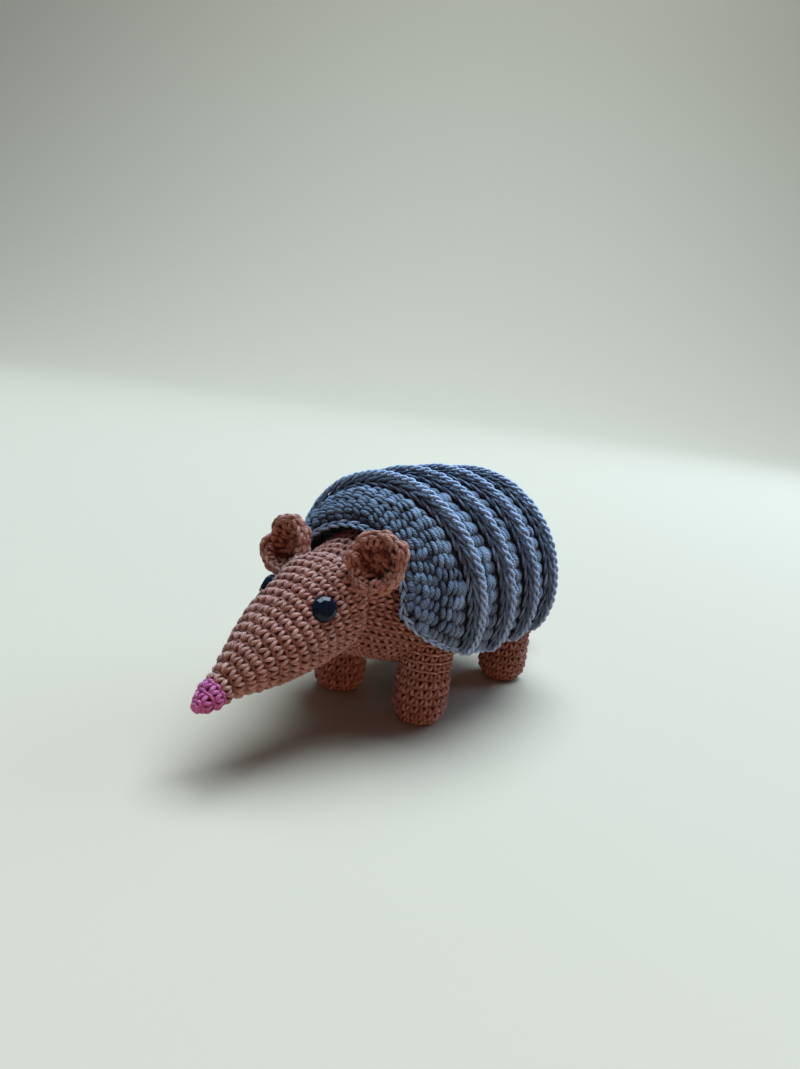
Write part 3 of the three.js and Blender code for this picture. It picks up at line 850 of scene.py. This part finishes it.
def chain(crest, base, tangent, arms, half, stitches, phase, tone_and_painted_light, sides, rng):
    """A crochet chain along an arch: two strands to each link.

    base and tangent are (along the body, outwards) pairs: the chain's middle and the way across
    it, and the way out of it is square to that. arms gives for each strand, step by step, how far
    it has run (in stitches), how far it stands aside and how far out it lies (millimetres).
    """
    normal = (-tangent[1], tangent[0])
    blocks = []
    for side, (run, aside_shape, lift_shape) in zip((-1, 1), arms):
        shake = rng.normal(0, 1, (3, stitches, 1))
        u = (np.arange(stitches)[:, None] + phase + run + shake[0] * 0.02) / stitches
        aside = side * aside_shape + shake[1] * 0.07
        lift = lift_shape + shake[2] * 0.08
        v = crest + base[0] + aside * tangent[0] + lift * normal[0]
        out = base[1] + aside * tangent[1] + lift * normal[1]
        thick = half * link_taper(run.size)
        blocks.append(shell_strands(
            u, v, out, thick, lift - half, rng, tone_and_painted_light, crest + base[0],
            sides, STRAND_FLATNESS, CHAIN_SHADE_REACH,
        ))
    return blocks


def parting(near, far, reach, sink=1.1):
    """An arm of an open link: it leaves beside the middle and runs out to the side."""
    t = np.linspace(0, 1, 10)
    run = -0.15 + reach * t
    aside = near + (far - near) * eased(t)
    return run, aside, arched(-sink, 0, t, 0.05, 0.93, 0.75)


def twisting(side, spread, rise):
    """An arm of a twisted pair: it runs by one side of a hole, from one crossing to the next.

    It stands aside by the cosine of the way from the hole's middle, and rises or sinks by the
    sine of it, so that it passes over at one crossing and under at the other.
    """
    s = np.linspace(-0.58, 0.58, 11)
    return s + 0.5, spread * np.cos(np.pi * s), -side * rise * np.sin(np.pi * s)


def arch_core(section, u_line, depth):
    """A closed section of (along, outwards) points carried round the arch at the stations u_line.

    depth is how much painted shade each point of the section takes.
    """
    u, (v, out) = u_line[:, None], section.T
    return under_layer(shell_surface, u, v, out, depth, u_line * 60, (0.46, 0.96))


# The third column is how much painted shade each point of the core takes.
RIDGE_CORE = np.array([  # along the body from the crest, outwards, how dark
    [-2.7, -1.4, 1], [-2.6, -0.5, 1], [-2.1, 0.5, 1], [-1.1, 0.9, 0.9],
    [0.4, 1.2, 0.6], [1.3, -0.2, 0.5], [1.4, -1.4, 0.5], [-0.9, -1.9, 1],
])


def ridge_piece(k, slate):
    """Front wall of wide open links, a crest of closed links and a line down the rear slope.

    The first ridge's wall is wider than the others' and painted darker: painted shade.
    """
    crest = ridge_crest(k)
    rng = np.random.default_rng(70 + k)
    foot, spread, tone_and_painted_light = ((-3.0, 0.35), 1.25, 0.0) if k == 0 else ((-2.55, 0.5), 0.95, 0.15)
    wall = [parting(0.45, spread, 1.2), parting(0.45, spread + 0.5, 1.2)]
    inner = [
        parting(0.1, spread * 0.55, 1.1, sink=1.3),
        parting(0.1, spread * 0.55 + 0.5, 1.1, sink=1.2),
    ]
    top = [twisting(-1, 0.62, 0.3), twisting(1, 0.72, 0.3)]
    slope = [parting(0.25, 0.8, 1.25)] * 2
    few, many = SHELL_STITCHES, 2 * SHELL_STITCHES - 8
    # The tone column paints the front wall and its inner links dark, as painted shade, and the
    # crest light, as a painted highlight.
    chains = (  # middle, way across, arms, half thickness, links, phase, tone, sides
        (foot, (0.42, 0.91), wall, 0.47, few, 0.0, tone_and_painted_light, CHAIN_SIDES),
        (foot, (0.42, 0.91), inner, 0.42, few, 0.45, -0.1, STRAND_SIDES),
        ((-1.1, 2.5), (0.9, 0.43), top, 0.55, many, 0.4, 1.1, STRAND_SIDES),
        ((1.5, 1.2), (0.5, -0.87), slope, 0.56, few, 0.1, 0.5, CHAIN_SIDES),
    )
    blocks = [strand for row in chains for strand in chain(crest, *row, rng)]
    section, depth = RIDGE_CORE[:, :2] + (crest, 0), RIDGE_CORE[:, 2]
    blocks.append(arch_core(section, np.linspace(0.002, 0.998, 90), depth))
    return crochet(f"ridge_{k + 1}_stitches", blocks, slate)


def shell_lining(slate):
    """A thin plate under all the rows, from the front edge to the rear one, in painted shade:
    wholly on its outer face and partly on its inner one.
    """
    v = np.linspace(SHELL_FRONT + EDGE_INSET, SHELL_REAR - EDGE_INSET, 48)
    section = np.stack([np.concatenate([v, v[::-1]]), np.repeat(LINING_DEPTH, v.size)], -1)
    depth = np.repeat([1.0, 0.45], v.size)
    return crochet("shell_lining", [arch_core(section, np.linspace(0, 1, 90), depth)], slate)


def edging_piece(slate):
    """A chain along the whole border of the shell, whose links part and close again.

    The border goes round the shell's u, v rectangle. It stands out by a bell curve at each ridge.
    """
    rng = np.random.default_rng(90)
    front, rear = SHELL_FRONT + EDGE_INSET, SHELL_REAR - EDGE_INSET
    corners = np.array([[0, front], [1, front], [1, rear], [0, rear], [0, front]])
    lap = np.arange(4 * 399) / 399
    u, v = (np.interp(lap, np.arange(5), side) for side in corners.T)
    crests = ridge_crest(np.arange(RIDGE_COUNT))[:, None]
    swell = 0.9 * np.exp(-(((v - crests + 0.8) / 2.6) ** 2)).sum(0)
    border, normal = on_surface(shell_surface, u, v, swell - 0.95 - 0.5 * (v < front + 0.1))
    border, normal = np.vstack([border, border[:1]]), np.vstack([normal, normal[:1]])
    where = lengths_along(border)
    total = where[-1]

    def along_border(values, s):
        return np.stack([np.interp(s % total, where, column) for column in values.T], -1)

    count = round(total / EDGE_LINK)
    blocks = []
    for side in (-1, 1):
        run, aside, lift = parting(0.1, 0.85, 1.25, sink=0.9)
        shake = rng.normal(0, 1, (2, count, 1))
        s = (np.arange(count)[:, None] + run + 0.02 * shake[0]) * total / count
        line, out = along_border(border, s), unit(along_border(normal, s))
        ahead = unit(along_border(border, s + 0.5) - along_border(border, s - 0.5))
        across = unit(np.cross(out, ahead))
        path = line + (side * aside + 0.06 * shake[1])[..., None] * across + lift[:, None] * out
        half = np.full(s.shape, 0.46) * link_taper(run.size)
        rings = strand_rings(path, out, half, half, CHAIN_SIDES)
        # The edging's tone is set lighter than the rows': painted light.
        tone = np.clip(0.7 + rng.normal(0, 0.15, count), 0, 1)
        deep = sunk(np.broadcast_to(lift - 0.3, s.shape), half, CHAIN_SIDES, CHAIN_SHADE_REACH)
        place = np.stack([middles(count) * 0.96 + 0.02, np.full(count, 0.51)], -1)
        along = s - s[:, :1] + YARN_START * rng.random((count, 1))
        blocks.append(block(rings, tone, deep, along, place))
    return crochet("shell_edging", blocks, slate)


def shell_pieces(slate):
    """Two rows before the first ridge, one between each two ridges and two after the last."""
    rng = np.random.default_rng(60)
    edge, inner = END_STITCHES
    start, end = SHELL_FRONT + 1.6, ridge_crest(0) - RIDGE_FRONT - 0.4
    middle = stations(start, end, 0.5)[0]
    # The front row is painted darker, as painted shade, and the rearmost wraps of the first and
    # last rows are painted lighter, as painted light.
    rows = {"front": shell_row(start, middle - 0.2, rng, edge, last=0.2, tone=-0.3)}
    rows["front"] += shell_row(middle + 0.35, end, rng, inner, tone=0.08)
    for k in range(RIDGE_COUNT - 1):
        start = ridge_crest(k) + RIDGE_REAR - 0.4
        end = ridge_crest(k + 1) - RIDGE_FRONT + 0.6
        rows[f"band_{k + 1}"] = shell_row(start, end, rng, face=-0.85, slant=(-1, 1)[k % 2])
    start, end = ridge_crest(RIDGE_COUNT - 1) + RIDGE_REAR - 0.2, SHELL_REAR - 1.6
    middle = stations(start, end, 0.5)[0]
    rows["rear"] = shell_row(start, middle - 0.3, rng, inner, slant=1)
    rows["rear"] += shell_row(middle + 0.2, end, rng, edge, last=0.4)
    return {part: crochet(f"shell_{part}_stitches", made, slate) for part, made in rows.items()}


# ---- eyes


def eye_piece(name, side, plastic):
    """A faceted bead: a flat table, bevels and a girdle, turned about the way it faces."""
    profile = np.array([  # radius, height
        [0.02, -EYE_STEM], [EYE_RADIUS * 0.8, -EYE_STEM], [EYE_RADIUS * 0.98, -0.2],
        [EYE_RADIUS, 0.5], [EYE_RADIUS * 0.92, 1.1], [EYE_RADIUS * 0.62, EYE_HEIGHT - 0.1],
        [EYE_RADIUS * 0.3, EYE_HEIGHT], [0.02, EYE_HEIGHT],
    ])
    seat, facing = eye_frame(side)
    across = unit(np.cross(Z_AXIS, facing))
    ring = around((np.arange(EYE_FACETS) + 0.8) / EYE_FACETS, across, np.cross(facing, across))
    points = (seat + profile[:, :1, None] * ring + profile[:, 1:, None] * facing)[None]
    tone, deep, place = np.array([0.5]), np.zeros(points.shape[:3]), np.array([[0.5, 0.5]])
    bead = block(points, tone, deep, profile[None, :, 1], place, (0.9, 0.9))
    made = crochet(name, [bead], plastic)
    made.data.polygons.foreach_set("use_smooth", np.zeros(len(made.data.polygons), bool))
    bevel = made.modifiers.new("softened_edges", "BEVEL")
    bevel.width = 0.12 * MM
    bevel.segments = 2
    bevel.limit_method = "ANGLE"
    return made


# ---- materials


PLIES = 5.0
PLY_WIDTH = 0.85
GRAIN = {"fibre": (5200.0, 3.0), "fleck": (1500.0, 2.0), "cloud": (130.0, 2.0)}  # scale, detail


def feed(tree, socket, value):
    """Links a socket to another one, or sets its value."""
    if isinstance(value, bpy.types.NodeSocket):
        tree.links.new(value, socket)
    else:
        socket.default_value = value


def node(tree, kind, inputs=None, **settings):
    made = tree.nodes.new(kind)
    for key, value in settings.items():
        setattr(made, key, value)
    for key, value in (inputs or {}).items():
        feed(tree, made.inputs[key], value)
    return made


def maths(tree, operation, *values):
    return node(tree, "ShaderNodeMath", dict(enumerate(values)), operation=operation).outputs[0]


def mixed_colour(tree, share, first, second):
    inputs = {0: share, 6: first, 7: second}
    return node(tree, "ShaderNodeMix", inputs, data_type="RGBA").outputs[2]


def noise(tree, scale, detail):
    place = node(tree, "ShaderNodeTexCoord").outputs["Object"]
    inputs = {"Vector": place, "Scale": scale, "Detail": detail}
    return node(tree, "ShaderNodeTexNoise", inputs).outputs[0]


def new_material(name):
    material = bpy.data.materials.new(name)
    material.use_nodes = True
    return material, material.node_tree, material.node_tree.nodes["Principled BSDF"]


def set_look(tree, shader, colour, roughness, height, strength, distance):
    """Feeds a material's shader with its colour and roughness and the bump of its height."""
    feed(tree, shader.inputs["Base Color"], colour)
    feed(tree, shader.inputs["Roughness"], roughness)
    inputs = {"Height": height, "Strength": strength, "Distance": distance}
    bump = node(tree, "ShaderNodeBump", inputs).outputs[0]
    feed(tree, shader.inputs["Normal"], bump)


def cotton(name, dark, light, deep):
    """Mercerised cotton yarn: plies twisted round the strand, fine fibres, a slight uneven dye.

    The ply pattern is the sine of five times the turn round the strand plus the way along it,
    counted in ply widths. The strand's own tone, which also holds its painted light and shade, and
    three noises share out the dark and the light colour. The grooves between plies and what lies
    deep take the deep colour: painted shade.
    """
    material, tree, shader = new_material(name)

    def times(value, factor):
        return maths(tree, "MULTIPLY", value, factor)

    tone = node(tree, "ShaderNodeAttribute", attribute_name="tone").outputs["Fac"]
    depth = node(tree, "ShaderNodeAttribute", attribute_name="depth").outputs["Fac"]
    yarn = node(tree, "ShaderNodeUVMap", uv_map="Yarn").outputs[0]
    turn, way = node(tree, "ShaderNodeSeparateXYZ", {0: yarn}).outputs[:2]
    phase = maths(tree, "MULTIPLY_ADD", turn, PLIES, maths(tree, "DIVIDE", way, PLY_WIDTH))
    ply = maths(tree, "MULTIPLY_ADD", maths(tree, "SINE", times(phase, TURN)), 0.5, 0.5)
    fibre, fleck, cloud = (noise(tree, *grain) for grain in GRAIN.values())
    share = times(tone, 0.75)
    for grain, weight in ((cloud, 0.3), (fibre, 0.25), (fleck, 0.9)):
        share = maths(tree, "ADD", share, times(grain, weight))
    share = maths(tree, "SUBTRACT", share, 0.61)
    colour = mixed_colour(tree, share, (*dark, 1), (*light, 1))
    # Painted shade in the grooves between plies and where the strands lie deep.
    ply_groove_shade = times(maths(tree, "SUBTRACT", 1.0, ply), 0.4)
    shade = times(maths(tree, "POWER", depth, 0.9), 0.97)
    for amount in (ply_groove_shade, shade):
        colour = mixed_colour(tree, amount, colour, (*deep, 1))
    height = maths(tree, "ADD", maths(tree, "ADD", times(ply, 0.7), times(fibre, 0.35)), fleck)
    roughness = maths(tree, "MULTIPLY_ADD", fibre, 0.25, 0.52)
    set_look(tree, shader, colour, roughness, height, 1.0, 0.15 * MM)
    shader.inputs["Sheen Weight"].default_value = 0.12
    shader.inputs["Sheen Roughness"].default_value = 0.4
    shader.inputs["Specular IOR Level"].default_value = 0.33
    return material


def glossy_black():
    """Polished black plastic with faint handling marks; its navy tint is a painted reflection of
    blue sky.
    """
    material, tree, shader = new_material("black_plastic_bead")
    haze = noise(tree, 900.0, 3.0)
    colour = mixed_colour(tree, haze, (0.003, 0.005, 0.010, 1), (0.007, 0.012, 0.026, 1))
    roughness = maths(tree, "MULTIPLY_ADD", haze, 0.10, 0.03)
    set_look(tree, shader, colour, roughness, haze, 0.05, 0.02 * MM)
    shader.inputs["Specular IOR Level"].default_value = 0.2
    return material


# ---- camera, floor and light

CAMERA_TARGET = np.array([0.0, 5.42, 30.0])
CAMERA_DISTANCE = 258.89
CAMERA_AZIMUTH = math.radians(33.32)
CAMERA_ELEVATION = math.radians(11.84)
CAMERA_ROLL = math.radians(7.49)
CAMERA_LENS = 27.08  # for a sensor whose longer side is 36
CAMERA_AIM = (0.02643, -0.08019)  # the target's slope off the middle of the view, right and up


def make_camera():
    a, e, r = CAMERA_AZIMUTH, CAMERA_ELEVATION, CAMERA_ROLL
    back = np.array([math.sin(a) * math.cos(e), -math.cos(a) * math.cos(e), math.sin(e)])
    level = np.array([math.cos(a), math.sin(a), 0])
    upright = np.cross(back, level)
    right = math.cos(r) * level + math.sin(r) * upright
    up = -math.sin(r) * level + math.cos(r) * upright
    seen = np.array([*CAMERA_AIM, -1]) * CAMERA_DISTANCE
    place = CAMERA_TARGET - seen[0] * right - seen[1] * up - seen[2] * back
    data = bpy.data.cameras.new("camera")
    data.sensor_width = 36
    data.lens = CAMERA_LENS
    data.clip_start = 0.01
    camera = scene_object("camera", data)
    axes = Matrix((right, up, back)).transposed().to_4x4()
    camera.matrix_world = Matrix.Translation(Vector(place * MM)) @ axes
    bpy.context.scene.camera = camera


def make_floor():
    """A wide pale floor that curves up into a backdrop far behind the toy."""
    size, bend_start, bend = 6.0, 1.5, 1.4  # metres
    facing = np.array([-math.sin(CAMERA_AZIMUTH), math.cos(CAMERA_AZIMUTH)])
    aside = np.array([math.cos(CAMERA_AZIMUTH), math.sin(CAMERA_AZIMUTH)])
    angle = np.linspace(0, np.pi / 2, 24)
    reach = np.concatenate([[-size], bend_start + bend * np.sin(angle), [bend_start + bend]])
    rise = np.concatenate([[0.0], bend * (1 - np.cos(angle)), [size]])
    span = np.linspace(-size, size, 13)
    points = np.empty((len(reach), len(span), 3))
    points[..., :2] = reach[:, None, None] * facing + span[None, :, None] * aside
    points[..., 2] = rise[:, None]
    index = np.arange(points.size // 3).reshape(points.shape[:2])
    faces = np.stack([index[:-1, :-1], index[:-1, 1:], index[1:, 1:], index[1:, :-1]], -1)
    material, _, shader = new_material("pale_floor")
    shader.inputs["Base Color"].default_value = (0.44, 0.37, 0.29, 1)
    shader.inputs["Roughness"].default_value = 0.9
    floor = mesh_object("floor", points.reshape(-1, 3), faces.reshape(-1, 4), material)


def area_light(name, place, target, size, power, colour):
    data = bpy.data.lights.new(name, "AREA")
    data.shape = "DISK"
    data.size = size
    data.energy = power
    data.color = colour
    lamp = scene_object(name, data)
    lamp.visible_camera = False
    turn = (Vector(target) - Vector(place)).to_track_quat("-Z", "Y")
    lamp.matrix_world = Matrix.Translation(Vector(place)) @ turn.to_matrix().to_4x4()
    return lamp


def make_light():
    world = bpy.data.worlds.new("studio")
    bpy.context.scene.world = world
    world.use_nodes = True
    background = world.node_tree.nodes["Background"]
    background.inputs[0].default_value = (0.78, 0.87, 1.0, 1)
    background.inputs[1].default_value = 0.09
    area_light("sky", (-0.15, 0.75, 2.9), (0, 0, 0.04), 2.7, 225.0, (0.66, 0.86, 1.0))
    area_light("rear_sky", (0.45, 1.20, 0.75), (0, 0, 0.05), 0.9, 9.0, (0.45, 0.70, 1.0))
    warm = area_light("warm_fill", (0.50, -0.50, 0.04), (0, 0, 0.03), 0.4, 1.6, (1.0, 0.36, 0.13))
    warm.visible_glossy = False
    bpy.context.scene.view_settings.view_transform = "Standard"


# ---- the toy

make_camera()
make_floor()
make_light()

# Each yarn's dark and light colour are mixed by its tone, which also holds painted light and
# shade; the slate's light colour gives the ridge crests their painted highlight. The deep colour
# is painted shade.
YARNS = {  # dark, light and deep colour
    "brown": ((0.295, 0.112, 0.075), (0.675, 0.405, 0.362), (0.115, 0.022, 0.012)),
    "pink": ((0.40, 0.06, 0.23), (0.78, 0.23, 0.54), (0.15, 0.006, 0.05)),
    "slate": ((0.088, 0.144, 0.240), (0.43, 0.61, 0.92), (0.005, 0.008, 0.018)),
}
brown, pink, slate = (cotton(f"{dye}_cotton_yarn", *colours) for dye, colours in YARNS.items())
plastic = glossy_black()


def settle(piece, slot, *nodes):
    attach(piece, "root")
    if nodes:
        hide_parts(*nodes)
    return piece


head, nose = head_pieces(brown, pink)
settle(head, "brown_cotton", "head")
settle(nose, "pink_cotton", "nose")
neck, trunk = body_pieces(brown)
settle(neck, "brown_cotton", "neck")
settle(trunk, "brown_cotton", "trunk")
for place, y in (("front", FRONT_LEG_Y), ("rear", REAR_LEG_Y)):
    for name, side in (("left", 1), ("right", -1)):
        seed = 30 + 5 * side + (place == "rear")
        leg = leg_piece(f"leg_{place}_{name}_stitches", side * LEG_X, y, seed, brown)
        settle(leg, "brown_cotton", f"leg_{place}_{name}")
for name, side in (("left", 1), ("right", -1)):
    ear = ear_piece(f"ear_{name}_stitches", side, 44 + side, brown)
    settle(ear, "brown_cotton", f"ear_{name}")
    eye = eye_piece(f"eye_{name}_bead", side, plastic)
    settle(eye, "black_plastic", f"eye_{name}")
settle(tail_piece(brown), "brown_cotton", "tail")

for part, piece in shell_pieces(slate).items():
    settle(piece, "slate_cotton", f"shell_{part}")
for k in range(RIDGE_COUNT):
    settle(ridge_piece(k, slate), "slate_cotton", f"shell_ridge_{k + 1}")
settle(edging_piece(slate), "slate_cotton")
lining_piece = settle(shell_lining(slate), "slate_cotton")
